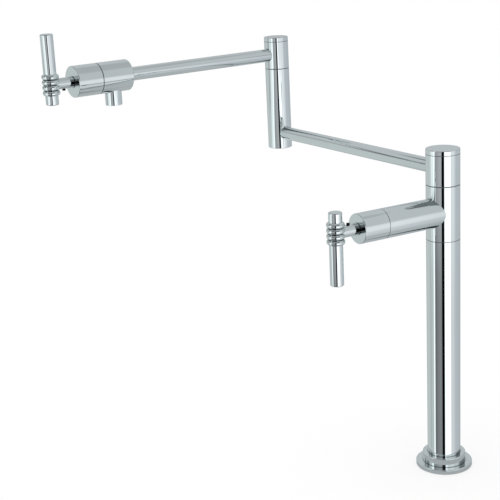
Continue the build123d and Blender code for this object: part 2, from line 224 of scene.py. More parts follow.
class Tree:
    """A node tree that is filled by code."""

    def __init__(self, graph):
        self.graph = graph
        graph.nodes.clear()

    def put(self, socket, value):
        if isinstance(value, list):
            for part in value:
                self.put(socket, part)
        elif isinstance(value, Value):
            self.graph.links.new(value.socket, socket)
        else:
            socket.default_value = value

    def add(self, kind, output=0, settings=None, stops=None, **inputs):
        """Adds a node: its settings first, then its ramp's stops, then the values or links of its sockets."""
        node = self.graph.nodes.new(kind)
        for name, value in (settings or {}).items():
            setattr(node, name, value)
        if stops:
            ramp = node.color_ramp
            ramp.elements.remove(ramp.elements[1])
            ramp.elements[0].position = stops[0][0]
            ramp.elements[0].color = stops[0][1]
            for position, colour in stops[1:]:
                ramp.elements.new(position).color = colour
        for name, value in inputs.items():
            key = int(name[1:]) if name[0] == "_" else name.replace("_", " ")
            self.put(node.inputs[key], value)
        return Value(self, node.outputs[output]) if len(node.outputs) else node

    def maths(self, operation, first, second=0.0):
        return self.add("ShaderNodeMath", settings={"operation": operation}, _0=first, _1=second)

    def held(self, value, low, high):
        """The value, kept between two limits."""
        return self.maths("MAXIMUM", self.maths("MINIMUM", value, high), low)

    def smooth(self, value, start, end, low=0.0, high=1.0):
        """Goes smoothly from low to high as the value goes from start to end."""
        inputs = {"Value": value, "From_Min": start, "From_Max": end, "To_Min": low, "To_Max": high}
        return self.add("ShaderNodeMapRange", settings={"interpolation_type": "SMOOTHSTEP"}, **inputs)

    def band(self, value, start, full, last, end):
        """Is 1 while the value goes from full to last, and fades to 0 at start and at end."""
        return self.smooth(value, start, full) * self.smooth(value, end, last)

    def noise(self, where, scale, detail=2.0):
        return self.add("ShaderNodeTexNoise", Vector=where, Scale=scale, Detail=detail)

    def colours(self, mask, first, second):
        return self.add("ShaderNodeMix", 2, {"data_type": "RGBA"}, _0=mask, _6=first, _7=second)

    def vectors(self, operation, first, second=(0.0, 0.0, 0.0), output=0):
        return self.add("ShaderNodeVectorMath", output, {"operation": operation}, _0=first, _1=second)

    def along(self, vector, direction):
        return self.vectors("DOT_PRODUCT", vector, direction, "Value")

    def stretched(self, where, scale):
        return self.add("ShaderNodeMapping", Vector=where, Scale=scale)

    def point(self, x=0.0, y=0.0, z=0.0):
        return self.add("ShaderNodeCombineXYZ", X=x, Y=y, Z=z)


def grey(level):
    return (level, level, level, 1.0)


def rgb(red, green, blue):
    return (red, green, blue, 1.0)


# Finishes

CHROME = rgb(0.82, 0.87, 0.875)
CHROME_BRIGHT = rgb(0.84, 0.89, 0.895)
# Colour of the painted shade that darkens the chrome in creases and tight corners
CREASE_SHADE = rgb(0.12, 0.13, 0.14)
BRASS = rgb(0.78, 0.58, 0.27)
TARNISH = rgb(0.55, 0.37, 0.16)
RUBBER = rgb(0.012, 0.012, 0.013)
RUBBER_BLOOM = rgb(0.04, 0.04, 0.042)
CERAMIC = rgb(0.9, 0.89, 0.86)
CERAMIC_GROUND = rgb(0.78, 0.77, 0.75)
PLASTIC = rgb(0.02, 0.02, 0.022)
PLASTIC_GRAIN = rgb(0.045, 0.045, 0.05)
STEEL = rgb(0.5, 0.5, 0.51)
STEEL_BRIGHT = rgb(0.62, 0.62, 0.63)
BLACK_OXIDE = rgb(0.004, 0.004, 0.005)
OXIDE_WORN = rgb(0.03, 0.03, 0.033)
CREASE_REACH = 0.0032


def blank_material(name):
    material = bpy.data.materials.new(name)
    material.use_nodes = True
    return material, Tree(material.node_tree)


def finish_material(name, paint):
    """A new material. The paint function gets its tree and returns the sockets of the surface shader."""
    material, tree = blank_material(name)
    where = tree.add("ShaderNodeTexCoord", "Object")
    surface = tree.add("ShaderNodeBsdfPrincipled", **paint(tree, where))
    tree.add("ShaderNodeOutputMaterial", Surface=surface)
    return material


def chrome(tree, where):
    """Mirror chrome plate: faint cloudiness, fine wipe marks, water marks, and painted shade in creases and
    tight corners.
    """
    cloud = tree.noise(where, scale=22.0, detail=3.0)
    wipes = tree.noise(tree.stretched(where, (900.0, 900.0, 60.0)), scale=1.0)
    spots = tree.smooth(tree.noise(where, scale=160.0), 0.66, 0.74)
    roughness = 0.01 + cloud * 0.014 + wipes * 0.008 + spots * 0.02
    tone = tree.smooth(cloud, 0.3, 0.7)
    unshaded = tree.colours(tone, CHROME, CHROME_BRIGHT)
    # Painted shade: ambient occlusion darkens the colour in creases and tight corners, where shade falls
    openness = tree.add("ShaderNodeAmbientOcclusion", "AO", {"samples": 8}, Distance=CREASE_REACH)
    colour = tree.colours(tree.smooth(openness, 0.3, 0.8), CREASE_SHADE, unshaded)
    return {"Base_Color": colour, "Metallic": 1.0, "Roughness": roughness}


def brass(tree, where):
    """Turned brass, with fine tool marks and a little tarnish."""
    tarnish = tree.smooth(tree.noise(where, scale=90.0, detail=4.0), 0.4, 0.75)
    marks = tree.noise(tree.stretched(where, (60.0, 60.0, 4000.0)), scale=1.0)
    colour = tree.colours(tarnish, BRASS, TARNISH)
    bump = tree.add("ShaderNodeBump", Height=marks, Strength=0.25, Distance=0.00005)
    return {"Base_Color": colour, "Metallic": 1.0, "Roughness": 0.24 + tarnish * 0.2, "Normal": bump}


def rubber(tree, where):
    """Matt black sealing rubber with a fine grain and a grey bloom."""
    grain = tree.noise(where, scale=2600.0, detail=4.0)
    bloom = tree.noise(where, scale=70.0, detail=3.0)
    colour = tree.colours(bloom, RUBBER, RUBBER_BLOOM)
    bump = tree.add("ShaderNodeBump", Height=grain, Strength=0.5, Distance=0.00008)
    return {"Base_Color": colour, "Roughness": 0.55 + bloom * 0.25, "Normal": bump}


def ceramic(tree, where):
    """Ground white ceramic, with faint grey grinding."""
    grinding = tree.noise(tree.stretched(where, (3000.0, 300.0, 300.0)), scale=1.0)
    colour = tree.colours(grinding, CERAMIC, CERAMIC_GROUND)
    return {"Base_Color": colour, "Roughness": 0.18 + grinding * 0.15}


def dark_plastic(tree, where):
    """Dark moulded bearing plastic with a fine matt grain."""
    grain = tree.noise(where, scale=1800.0, detail=3.0)
    colour = tree.colours(grain, PLASTIC, PLASTIC_GRAIN)
    bump = tree.add("ShaderNodeBump", Height=grain, Strength=0.3, Distance=0.00004)
    return {"Base_Color": colour, "Roughness": 0.5 + grain * 0.15, "Normal": bump}


def steel(tree, where):
    """Plain stainless steel, tumbled."""
    grain = tree.noise(where, scale=900.0, detail=4.0)
    colour = tree.colours(grain, STEEL, STEEL_BRIGHT)
    return {"Base_Color": colour, "Metallic": 1.0, "Roughness": 0.22 + grain * 0.2}


def black_steel(tree, where):
    """Black oxide on the grub screws, worn to dark grey in spots."""
    wear = tree.smooth(tree.noise(where, scale=700.0, detail=3.0), 0.6, 0.85)
    colour = tree.colours(wear, BLACK_OXIDE, OXIDE_WORN)
    return {"Base_Color": colour, "Roughness": 0.5 + wear * 0.15, "Specular_IOR_Level": 0.15}


finishes = {
    "polished_chrome": finish_material("polished_chrome_plate", chrome),
    "bare_brass": finish_material("turned_brass", brass),
    "rubber": finish_material("sealing_rubber", rubber),
    "ceramic": finish_material("ground_ceramic", ceramic),
    "washer_plastic": finish_material("bearing_plastic", dark_plastic),
    "plain_steel": finish_material("tumbled_steel", steel),
}
black_oxide = finish_material("black_oxide_steel", black_steel)


# Turning and cutting

def turned_by(vector, angle):
    across = vector.x * cos(angle) - vector.y * sin(angle)
    up = vector.x * sin(angle) + vector.y * cos(angle)
    return Vector((across, up))


def smoothed(corners):
    """An outline from corners (radius, height, rounding), with a support point at both ends of each arc."""
    outline = []
    for index, (radius, height, rounding) in enumerate(corners):
        corner = Vector((radius, height))
        if not rounding:
            outline.append(corner)
            continue
        back = Vector(corners[index - 1][:2]) - corner
        on = Vector(corners[(index + 1) % len(corners)][:2]) - corner
        half = back.angle(on) / 2
        reach = rounding / tan(half)
        back.normalize()
        on.normalize()
        centre = corner + (back + on).normalized() * rounding / sin(half)
        start = corner + back * reach - centre
        end = corner + on * reach - centre
        turn = pi - 2 * half
        steps = max(LEAST_ARC_STEPS, ceil(turn / ARC_STEP))
        side = 1 if start.x * end.y - start.y * end.x > 0 else -1
        support = rounding * SUPPORT_SHARE
        outline.append(centre + start + back * support)
        for step in range(steps + 1):
            outline.append(centre + turned_by(start, side * turn * step / steps))
        outline.append(centre + end + on * support)
    return outline


def placed(point, along, across):
    """The matrix that puts a piece drawn in millimetres along local Z at this point, turned as given."""
    z = Vector(along).normalized()
    x = Vector(across).normalized()
    turn = Matrix((x, z.cross(x), z)).transposed().to_4x4()
    return Matrix.Translation(Vector(point) * MM) @ turn @ Matrix.Scale(MM, 4)


def in_scene(name, data):
    piece = bpy.data.objects.new(name, data)
    bpy.context.scene.collection.objects.link(piece)
    return piece


def piece_from(name, mesh, finish):
    mesh.shade_smooth()
    mesh.set_sharp_from_angle(angle=SHARP)
    mesh.materials.clear()
    mesh.materials.append(finish)
    return in_scene(name, mesh)


def turned(name, corners, place, finish=None, steps=ROUND):
    """Turns a section, given anticlockwise, into a closed piece. A solid piece's ends lie on the axis."""
    closed = corners[0][0] > 0
    rings = []
    points = []
    for radius, height in smoothed(corners):
        count = steps if radius > 0 else 1
        rings.append([len(points) + index for index in range(count)])
        for index in range(count):
            angle = 2 * pi * index / count
            points.append(place @ Vector((radius * cos(angle), radius * sin(angle), height)))
    faces = []
    following = rings[1:] + rings[:1] if closed else rings[1:]
    for low, high in zip(rings, following):
        for index in range(steps):
            on = (index + 1) % steps
            face = [low[index % len(low)], low[on % len(low)], high[on % len(high)], high[index % len(high)]]
            face = list(dict.fromkeys(face))
            if len(face) > 2:
                faces.append(face)
    mesh = bpy.data.meshes.new(name)
    mesh.from_pydata(points, [], faces)
    return piece_from(name, mesh, finish or finishes["polished_chrome"])


def rod(radius, low, high, place, steps=ROUND):
    """A plain round bar, used to cut with."""
    corners = [(0, low, 0), (radius, low, 0), (radius, high, 0), (0, high, 0)]
    return turned("cutter", corners, place, steps=steps)


def change(piece, tool, operation):
    """Joins a second closed piece to this one, or cuts it away, for good."""
    step = piece.modifiers.new("step", "BOOLEAN")
    step.operation = operation
    step.solver = "EXACT"
    step.object = tool
    made = piece.evaluated_get(bpy.context.evaluated_depsgraph_get())
    mesh = bpy.data.meshes.new_from_object(made)
    piece.modifiers.remove(step)
    piece.data = mesh
    shell = bmesh.new()
    shell.from_mesh(mesh)
    bmesh.ops.remove_doubles(shell, verts=shell.verts, dist=same_point * MM)
    shell.to_mesh(mesh)
    shell.free()
    mesh.name = piece.name
    mesh.shade_smooth()
    mesh.set_sharp_from_angle(angle=SHARP)
    bpy.data.objects.remove(tool)


def true_rounds(piece, barrels):
    """Gives the faces that lie on these barrels, each (place, radius), the exact normals of a round bar."""
    mesh = piece.data
    normals = [Vector(corner.vector) for corner in mesh.corner_normals]
    for place, radius in barrels:
        axis = (place.to_3x3() @ Vector((0, 0, 1))).normalized()
        origin = place.translation
        for face in mesh.polygons:
            if abs(face.normal.dot(axis)) > barrel_slope:
                continue
            arms = []
            for index in face.vertices:
                arm = mesh.vertices[index].co - origin
                arms.append(arm - axis * arm.dot(axis))
            if any(abs(arm.length - radius * MM) > barrel_tolerance * MM for arm in arms):
                continue
            for loop, arm in zip(face.loop_indices, arms):
                arm.normalize()
                normals[loop] = arm if arm.dot(face.normal) > 0 else -arm
    mesh.normals_split_custom_set(normals)


def hand_over(piece, body, slot, *nodes):
    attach(piece, body)
    if nodes:
        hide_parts(*nodes)


# Patterns, grown by geometry trees

class Pattern(Tree):
    """A geometry tree with named inputs, grown once into a plain piece."""

    def __init__(self, name, **inputs):
        super().__init__(bpy.data.node_groups.new(name, "GeometryNodeTree"))
        self.inputs = {}
        for label, value in inputs.items():
            kind = "NodeSocketInt" if isinstance(value, int) else "NodeSocketFloat"
            item = self.graph.interface.new_socket(name=label, in_out="INPUT", socket_type=kind)
            self.inputs[item.identifier] = value
        self.graph.interface.new_socket(name="Geometry", in_out="OUTPUT", socket_type="NodeSocketGeometry")

    def given(self, label):
        return self.add("NodeGroupInput", label)

    def closed_sweep(self, path, profile):
        return self.add("GeometryNodeCurveToMesh", Curve=path, Profile_Curve=profile, Fill_Caps=True)

    def grow(self, name, shape, place, finish):
        """Ends the tree, evaluates it with its inputs and puts the plain mesh in its place."""
        real = self.add("GeometryNodeRealizeInstances", Geometry=shape)
        finished = self.add("GeometryNodeSetMaterial", Geometry=real, Material=finish)
        self.add("NodeGroupOutput", Geometry=finished)
        seed = in_scene(name, bpy.data.meshes.new(name))
        growth = seed.modifiers.new("growth", "NODES")
        growth.node_group = self.graph
        for identifier, value in self.inputs.items():
            growth[identifier] = value
        made = seed.evaluated_get(bpy.context.evaluated_depsgraph_get())
        mesh = bpy.data.meshes.new_from_object(made)
        bpy.data.objects.remove(seed)
        mesh.transform(place)
        return piece_from(name, mesh, finish)


def bead_stack(name, place):
    """The lever's beads: a closed arc swept round the bar, set out along it at the pitch."""
    pattern = Pattern("bead_stack", count=bead_count, pitch=bead_pitch, bar=lever_radius, crest=bead_radius)
    pitch = pattern.given("pitch")
    bar = pattern.given("bar")
    swell = pattern.given("crest") - bar
    curve = (pitch * pitch / 4 + swell * swell) / (2 * swell)
    half = pattern.maths("ARCSINE", pitch / 2 / curve)
    arc = pattern.add(
        "GeometryNodeCurveArc",
        Resolution=BEAD_STEPS,
        Radius=curve,
        Start_Angle=-1 * half,
        Sweep_Angle=2 * half,
    )
    section = pattern.add("GeometryNodeSetSplineCyclic", Geometry=arc, Cyclic=True)
    inward = pattern.point(x=swell - curve)
    section = pattern.add("GeometryNodeTransform", Geometry=section, Translation=inward)
    circle = pattern.add("GeometryNodeCurvePrimitiveCircle", Resolution=ROUND, Radius=bar)
    bead = pattern.closed_sweep(circle, section)
    middle = (pattern.given("count") - 1) * pitch / 2
    rows = pattern.add(
        "GeometryNodeMeshLine",
        Count=pattern.given("count"),
        Start_Location=pattern.point(z=-1 * middle),
        Offset=pattern.point(z=pitch),
    )
    stack = pattern.add("GeometryNodeInstanceOnPoints", Points=rows, Instance=bead)
    return pattern.grow(name, stack, place, finishes["polished_chrome"])


def pipe_thread(name, place):
    """The ridge of an inside pipe thread: a trapezium swept along a helix on the bore's wall."""
    turns = inlet_depth / thread_pitch - 1
    wall = inlet_core_radius + thread_depth
    pattern = Pattern("pipe_thread", pitch=thread_pitch, turns=turns, bore=wall, depth=thread_depth)
    pitch = pattern.given("pitch")
    depth = pattern.given("depth")
    crest = pitch * thread_crest / 2
    root = pitch * (1 - thread_crest) / 2
    section = pattern.add(
        "GeometryNodeCurvePrimitiveQuadrilateral",
        settings={"mode": "POINTS"},
        Point_1=pattern.point(x=-fit, y=-1 * root),
        Point_2=pattern.point(x=depth, y=-1 * crest),
        Point_3=pattern.point(x=depth, y=crest),
        Point_4=pattern.point(x=-fit, y=root),
    )
    bore = pattern.given("bore")
    helix = pattern.add(
        "GeometryNodeCurveSpiral",
        Resolution=THREAD_STEPS,
        Rotations=pattern.given("turns"),
        Start_Radius=bore,
        End_Radius=bore,
        Height=pitch * pattern.given("turns"),
    )
    return pattern.grow(name, pattern.closed_sweep(helix, section), place, finishes["bare_brass"])


def aerator_screen(name, place):
    """The screen in the aerator: fine rings, crossed by spokes set out round the middle."""
    outer = aerator_radius - aerator_wall
    pattern = Pattern("aerator_screen", spokes=spoke_count, rings=screen_ring_count, width=spoke_width)
    width = pattern.given("width")
    length = outer - screen_ring_pitch / 2
    bar = pattern.add("GeometryNodeMeshCube", Size=pattern.point(x=length, y=width, z=width * 2))
    reach = pattern.point(x=(outer + screen_ring_pitch / 2) / 2)
    bar = pattern.add("GeometryNodeTransform", Geometry=bar, Translation=reach)
    spots = pattern.add("GeometryNodeMeshLine", Count=pattern.given("spokes"), Offset=(0.0, 0.0, 0.0))
    index = pattern.add("GeometryNodeInputIndex")
    turn = pattern.point(z=index * (2 * pi) / pattern.given("spokes"))
    spokes = pattern.add("GeometryNodeInstanceOnPoints", Points=spots, Instance=bar, Rotation=turn)
    circle = pattern.add("GeometryNodeCurvePrimitiveCircle", Resolution=SMALL_ROUND, Radius=screen_ring_pitch)
    section = pattern.add("GeometryNodeCurvePrimitiveCircle", Resolution=WIRE_SIDES, Radius=width / 2)
    ring = pattern.closed_sweep(circle, section)
    rows = pattern.add("GeometryNodeMeshLine", Count=pattern.given("rings"), Offset=(0.0, 0.0, 0.0))
    scale = pattern.point(x=index + 1, y=index + 1, z=1.0)
    rings = pattern.add("GeometryNodeInstanceOnPoints", Points=rows, Instance=ring, Scale=scale)
    screen = pattern.add("GeometryNodeJoinGeometry", Geometry=[spokes, rings])
    return pattern.grow(name, screen, place, finishes["washer_plastic"])


# Places

UP = Vector((0, 0, 1))


def toward(angle):
    return Vector((cos(radians(angle)), sin(radians(angle)), 0))


first_level = valve_body_top + swivel_gap + hub_height / 2
elbow_point = toward(first_heading) * first_reach
elbow_bottom = first_level - elbow_drop
elbow_top = first_level + elbow_rise
second_level = elbow_top + swivel_gap + hub_height / 2
spout_point = elbow_point + toward(second_heading) * second_reach + UP * second_level
spout_valve_face = spout_point + toward(second_heading) * spout_valve_length / 2

column_place = placed((0, 0, 0), UP, (1, 0, 0))
deck_valve_place = placed((0, -stub_reach, stub_level), (0, -1, 0), (0, 0, -1))
base_swivel_place = placed((0, 0, valve_body_top + swivel_gap), UP, toward(first_heading))
first_arm_place = placed((0, 0, first_level), toward(first_heading), UP)
elbow_place = placed(elbow_point, UP, toward(first_heading))
elbow_inlet_place = placed(elbow_point + UP * first_level, -toward(first_heading), UP)
elbow_swivel_place = placed(elbow_point + UP * (elbow_top + swivel_gap), UP, toward(second_heading))
second_arm_place = placed(elbow_point + UP * second_level, toward(second_heading), UP)
spout_valve_place = placed(spout_valve_face, toward(second_heading), UP)
spout_place = placed(spout_point, UP, toward(second_heading))


# Joints between polished pieces

def groove_above(radius, level, width):
    """The end of an outline under a joint: a square groove just below the level."""
    floor = radius - groove_depth
    return [(radius, level - width, fine_round), (floor, level - width, 0), (floor, level, 0)]


def groove_below(radius, level, width):
    """The start of an outline over a joint: a square groove just above the level."""
    floor = radius - groove_depth
    return [(floor, level, 0), (floor, level + width, 0), (radius, level + width, fine_round)]


def groove_shade_ring(name, radius, low, high, place, body):
    """A dark rubber ring at the bottom of a joint's groove, as painted shade: its black stands in for the
    shade inside the groove.
    """
    play = fit / 2
    corners = [
        (radius - groove_depth + play, low + play, 0),
        (radius - seam_depth, low + play, 0),
        (radius - seam_depth, high - play, 0),
        (radius - groove_depth + play, high - play, 0),
    ]
    # Painted shade: the black ring darkens the groove's floor where shade falls
    hand_over(turned(name, corners, place, finishes["rubber"]), body, "rubber")


# Deck plate, column and tee

def deck_gasket():
    corners = [
        (column_bore, 0, 0),
        (gasket_radius, 0, fine_round),
        (gasket_radius, gasket_thickness, fine_round),
        (column_bore, gasket_thickness, 0),
    ]
    piece = turned("flange_gasket", corners, column_place, finishes["rubber"])
    hand_over(piece, "stand", "rubber", "deck_gasket")


def deck_flange():
    corners = [
        (column_bore, gasket_thickness, 0),
        (flange_radius, gasket_thickness, fine_round),
        (flange_radius, flange_top, edge_round),
        (column_bore, flange_top, 0),
    ]
    hand_over(turned("deck_plate", corners, column_place), "stand", "polished_chrome", "deck_flange")


def foot_collar():
    inner = column_radius + fit
    corners = [
        (inner, flange_top, 0),
        (collar_radius, flange_top, fine_round),
        (collar_radius, collar_ledge, edge_round),
        (inner, collar_ledge, fine_round),
    ]
    hand_over(turned("foot_collar", corners, column_place), "stand", "polished_chrome", "base_collar")


def riser():
    corners = [(column_bore, flange_top, 0), (column_radius, flange_top, joint_round)]
    corners += groove_above(column_radius, riser_top, column_groove)
    corners += [(column_bore, riser_top, 0)]
    hand_over(turned("riser_column", corners, column_place), "stand", "polished_chrome", "riser_tube")
    groove_shade_ring("riser_groove_shade", column_radius, riser_top - column_groove, riser_top, column_place, "stand")


def inlet_socket():
    outer = column_bore - fit
    seat = socket_height - tube_seat
    bore = inlet_core_radius + thread_depth
    corners = [
        (bore + mouth_bevel, 0, 0),
        (outer, 0, fine_round),
        (outer, socket_height, fine_round),
        (tube_radius + fit, socket_height, 0),
        (tube_radius + fit, seat, 0),
        (tube_bore, seat, 0),
        (tube_bore, inlet_depth, 0),
        (bore, inlet_depth, 0),
        (bore, mouth_bevel, 0),
    ]
    piece = turned("inlet_socket", corners, column_place, finishes["bare_brass"])
    hand_over(piece, "stand", "bare_brass", "base_socket")
    thread_place = column_place @ Matrix.Translation((0, 0, thread_pitch / 2))
    hand_over(pipe_thread("inlet_pipe_thread", thread_place), "stand", "bare_brass")


def tee_body():
    """The tee at the head of the column: one casting, hollow for the cartridge and the spindle's foot."""
    corners = [
        (0, riser_top - spigot_length, 0),
        (column_bore - fit, riser_top - spigot_length, 0),
        (column_bore - fit, riser_top, 0),
        (column_radius, riser_top, fine_round),
        (column_radius, valve_body_top, joint_round),
        (0, valve_body_top, 0),
    ]
    piece = turned("tee_body", corners, column_place)
    corners = [(0, -stub_reach, 0), (stub_radius, -stub_reach, 0), (stub_radius, 0, fine_round), (0, 0, 0)]
    change(piece, turned("stub", corners, deck_valve_place), "UNION")
    change(piece, rod(chamber_radius, -chamber_depth, overrun, deck_valve_place), "DIFFERENCE")
    foot_radius = base_shaft + foot_step + fit
    foot = rod(foot_radius, valve_body_top - foot_length, valve_body_top + overrun, column_place)
    change(piece, foot, "DIFFERENCE")
    true_rounds(piece, [(column_place, column_radius), (deck_valve_place, stub_radius)])
    hand_over(piece, "stand", "polished_chrome", "valve_body")


# Swivels and arms

def swivel_hub(name, radius, shaft, place, arm_place, body):
    """The turning hub, bored for its arm, with a groove under the cap."""
    recess = shaft + circlip_room
    corners = [(shaft + fit, 0, 0), (radius, 0, joint_round)]
    corners += groove_above(radius, hub_height, cap_groove)
    corners += [(recess, hub_height, 0), (recess, hub_shoulder, 0), (shaft + fit, hub_shoulder, 0)]
    piece = turned(name + "_hub_barrel", corners, place)
    change(piece, rod(arm_radius + fit, 0, radius + overrun, arm_place), "DIFFERENCE")
    true_rounds(piece, [(place, radius)])
    hand_over(piece, body, "polished_chrome", name + "_swivel_hub")
    groove_shade_ring(name + "_cap_seam", radius, hub_height - cap_groove, hub_height, place, body)


def swivel_cap(name, radius, shaft, place, body):
    """The screwed cap with its short hollow thread."""
    outer = shaft + circlip_room - fit
    inner = max(shaft + thread_gap, outer - cap_thread_wall)
    low = circlip_top + thread_gap
    corners = [
        (0, hub_height, 0),
        (inner, hub_height, 0),
        (inner, low, 0),
        (outer, low, 0),
        (outer, hub_height, 0),
        (radius, hub_height, fine_round),
        (radius, hub_height + cap_thickness, edge_round),
        (0, hub_height + cap_thickness, 0),
    ]
    hand_over(turned(name + "_cap_disc", corners, place), body, "polished_chrome", name + "_hub_cap")


def arm(name, start, end, place, body, node):
    bore = arm_radius - arm_wall
    corners = [(bore, start, 0), (arm_radius, start, 0), (arm_radius, end, 0), (bore, end, 0)]
    hand_over(turned(name, corners, place), body, "polished_chrome", node)


def elbow_column():
    socket = elbow_shaft + foot_step + fit
    corners = [
        (0, elbow_bottom, 0),
        (elbow_radius, elbow_bottom, edge_round),
        (elbow_radius, elbow_top, joint_round),
        (socket, elbow_top, 0),
        (socket, elbow_bottom + elbow_floor, 0),
        (0, elbow_bottom + elbow_floor, 0),
    ]
    piece = turned("elbow_column", corners, elbow_place)
    change(piece, rod(arm_radius + fit, 0, elbow_radius + overrun, elbow_inlet_place), "DIFFERENCE")
    true_rounds(piece, [(elbow_place, elbow_radius)])
    hand_over(piece, "first_arm", "polished_chrome", "elbow_post")


# Valves and levers

def bonnet(name, radius, groove, place, body):
    corners = [
        (bonnet_room, -bonnet_thread, 0),
        (chamber_radius - fit, -bonnet_thread, 0),
        (chamber_radius - fit, 0, 0),
    ]
    corners += groove_below(radius, 0, groove)
    corners += [
        (radius, bonnet_length, edge_round),
        (stem_bore, bonnet_length, fine_round),
        (stem_bore, bonnet_room_depth, 0),
        (bonnet_room, bonnet_room_depth, 0),
    ]
    hand_over(turned(name + "_bonnet_sleeve", corners, place), body, "polished_chrome", name + "_bonnet")
    groove_shade_ring(name + "_bonnet_seam", radius, 0, groove, place, body)


def lever(name, place, body):
    """The turned bar and its stack of beads."""
    bar_place = place @ Matrix.Translation((0, 0, lever_axis)) @ Matrix.Rotation(pi / 2, 4, "Y")
    corners = [
        (0, -lever_short, 0),
        (lever_radius, -lever_short, lever_round),
        (lever_radius, lever_long, lever_round),
        (0, lever_long, 0),
    ]
    hand_over(turned(name + "_lever_bar", corners, bar_place), body, "polished_chrome", name + "_lever")
    hand_over(bead_stack(name + "_lever_beads", bar_place), body, "polished_chrome")


def neck(name, place, body):
    """The neck that carries the lever, and its black grub screw with a hexagon socket."""
    top = lever_axis - neck_sink
    corners = [
        (neck_bore, neck_start, 0),
        (neck_radius, neck_start, fine_round),
        (neck_radius, top, 0),
        (neck_bore, top, 0),
    ]
    piece = turned(name + "_neck_sleeve", corners, place, steps=SMALL_ROUND)
    screw_place = place @ Matrix.Translation((0, 0, screw_level)) @ Matrix.Rotation(-pi / 2, 4, "Y")
    hole = rod(screw_radius + fit, screw_hole_start, neck_radius + overrun, screw_place, SCREW_STEPS)
    change(piece, hole, "DIFFERENCE")
    true_rounds(piece, [(place, neck_radius)])
    hand_over(piece, body, "polished_chrome", name + "_lever_neck")
    outer = neck_radius + screw_proud
    corners = [
        (0, screw_end, 0),
        (screw_radius, screw_end, screw_edge_round),
        (screw_radius, outer, screw_edge_round),
        (0, outer, 0),
    ]
    screw = turned(name + "_grub_screw", corners, screw_place, black_oxide, SCREW_STEPS)
    socket = rod(screw_key / sqrt(3), outer - screw_key_depth, outer + overrun, screw_place, HEXAGON)
    change(screw, socket, "DIFFERENCE")
    hand_over(screw, body, "plain_steel", name + "_set_screw")


def spout_valve():
    seat = -spout_valve_length + arm_seat
    corners = [
        (arm_radius + fit, -spout_valve_length, 0),
        (spout_valve_radius, -spout_valve_length, edge_round),
        (spout_valve_radius, 0, fine_round),
        (chamber_radius, 0, 0),
        (chamber_radius, -chamber_depth, 0),
        (waterway_radius, -chamber_depth, 0),
        (waterway_radius, seat, 0),
        (arm_radius + fit, seat, 0),
    ]
    piece = turned("spout_valve_barrel", corners, spout_valve_place)
    socket = rod(spout_radius + fit, -spout_valve_radius - overrun, -spout_seat, spout_place)
    change(piece, socket, "DIFFERENCE")
    true_rounds(piece, [(spout_valve_place, spout_valve_radius)])
    hand_over(piece, "second_arm", "polished_chrome", "spout_valve_body")


def spout():
    recess = aerator_radius + fit
    recess_top = aerator_high + washer_thickness
    corners = [
        (recess, -spout_drop, 0),
        (spout_radius, -spout_drop, joint_round),
        (spout_radius, -spout_seat, 0),
        (spout_bore, -spout_seat, 0),
        (spout_bore, recess_top, 0),
        (recess, recess_top, 0),
    ]
    hand_over(turned("spout_pipe", corners, spout_place), "second_arm", "polished_chrome", "spout_tube")


def aerator():
    """The aerator's brass shell, and the dark plastic screen below its plate with seven holes."""
    inner = aerator_radius - aerator_wall
    corners = [
        (inner, aerator_low, fine_round),
        (aerator_radius, aerator_low, fine_round),
        (aerator_radius, aerator_high, fine_round),
        (inner, aerator_high, 0),
    ]
    shell = turned("aerator_shell", corners, spout_place, finishes["bare_brass"], SMALL_ROUND)
    hand_over(shell, "second_arm", "bare_brass", "aerator_housing")
    low = aerator_low + aerator_recess + spoke_width
    screen = aerator_screen("aerator_screen", spout_place @ Matrix.Translation((0, 0, low)))
    hand_over(screen, "second_arm", "washer_plastic")
    bed = low + spoke_width
    top = aerator_low + aerator_recess + aerator_floor
    corners = [(0, bed, 0), (inner - fit, bed, 0), (inner - fit, top, 0), (0, top, 0)]
    disc = turned("aerator_disc", corners, spout_place, finishes["washer_plastic"], SMALL_ROUND)
    holes = [Vector((0, 0, 0))]
    for index in range(aerator_hole_count):
        holes.append(toward(360 * index / aerator_hole_count) * aerator_hole_circle)
    for hole in holes:
        hole_place = spout_place @ Matrix.Translation(hole)
        drill = rod(aerator_hole_radius, bed - overrun, top + overrun, hole_place, HOLE_STEPS)
        change(disc, drill, "DIFFERENCE")
    hand_over(disc, "second_arm", "washer_plastic", "aerator_insert")


def carried_over():
    """The inner solids keep their shape and get their finish."""
    slots = {row["node"]: row["material_slot"] for row in frame["record"]["subparts"]}
    for name, node in frame["nodes"].items():
        if not node.hide_render:
            node.data.materials.clear()
            node.data.materials.append(finishes[slots[name]])


first_arm_start = base_shaft + fit * 2
first_arm_end = first_reach - elbow_shaft - foot_step - fit * 2
second_arm_start = elbow_shaft + fit * 2
second_arm_end = second_reach - spout_valve_length / 2 + arm_seat

deck_gasket()
deck_flange()
foot_collar()
riser()
inlet_socket()
tee_body()
swivel_hub("base", column_radius, base_shaft, base_swivel_place, first_arm_place, "first_arm")
swivel_cap("base", column_radius, base_shaft, base_swivel_place, "first_arm")
swivel_hub("elbow", elbow_radius, elbow_shaft, elbow_swivel_place, second_arm_place, "second_arm")
swivel_cap("elbow", elbow_radius, elbow_shaft, elbow_swivel_place, "second_arm")
arm("first_arm_pipe", first_arm_start, first_arm_end, first_arm_place, "first_arm", "first_arm_tube")
arm("second_arm_pipe", second_arm_start, second_arm_end, second_arm_place, "second_arm", "second_arm_tube")
elbow_column()
bonnet("deck", stub_radius, deck_bonnet_groove, deck_valve_place, "stand")
bonnet("spout", spout_valve_radius, spout_bonnet_groove, spout_valve_place, "second_arm")
lever("deck", deck_valve_place, "deck_handle")
neck("deck", deck_valve_place, "deck_handle")
lever("spout", spout_valve_place, "spout_handle")
neck("spout", spout_valve_place, "spout_handle")
spout_valve()
spout()
aerator()
carried_over()


# Camera

